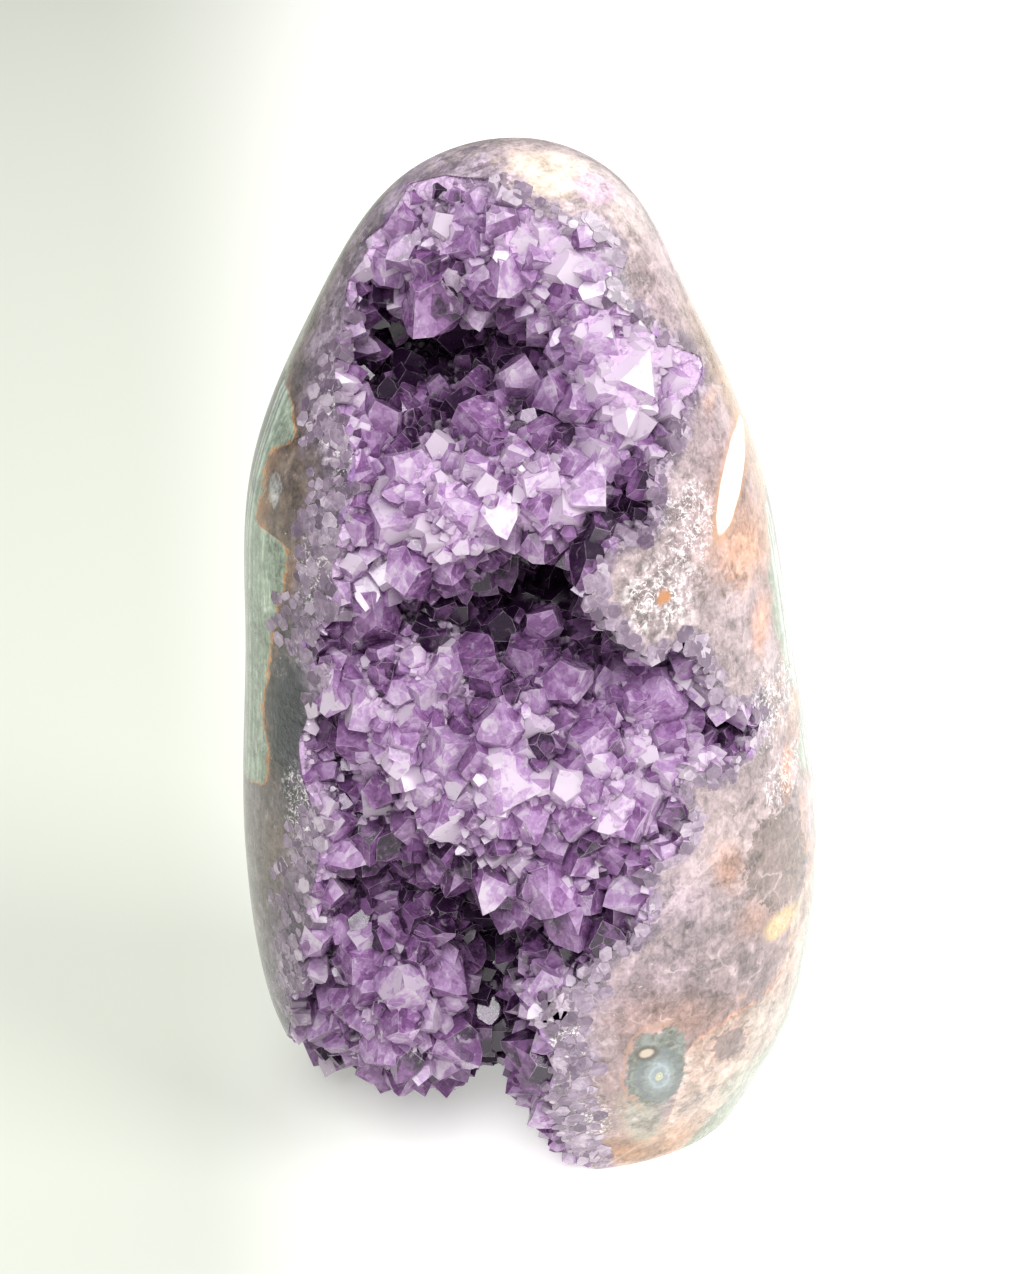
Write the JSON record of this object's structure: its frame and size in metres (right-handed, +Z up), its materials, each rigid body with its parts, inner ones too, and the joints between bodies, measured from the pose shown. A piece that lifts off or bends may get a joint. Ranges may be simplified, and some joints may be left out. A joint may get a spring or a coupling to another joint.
{
  "type": "amethyst cluster",
  "caption": "Egg-shaped polished quartz geode on a flat cut base, open in front on a pocket lined with a crust of purple amethyst points.",
  "frame": {"origin": "middle of the flat base's bounding rectangle, on the ground", "axes": "+Z up along the stone's height, -Y towards the open front of the pocket, +X to the right seen from the front"},
  "size_m": [0.0877, 0.072, 0.15],
  "materials": {
    "polished_stone": "polished agate and milky quartz, banded grey, cream and rust",
    "amethyst": "clear to cloudy purple crystal with flat shiny faces"
  },
  "bodies": {
    "root": {"stone": "polished_stone", "crystal_crust": "amethyst"}
  },
  "joints": []
}
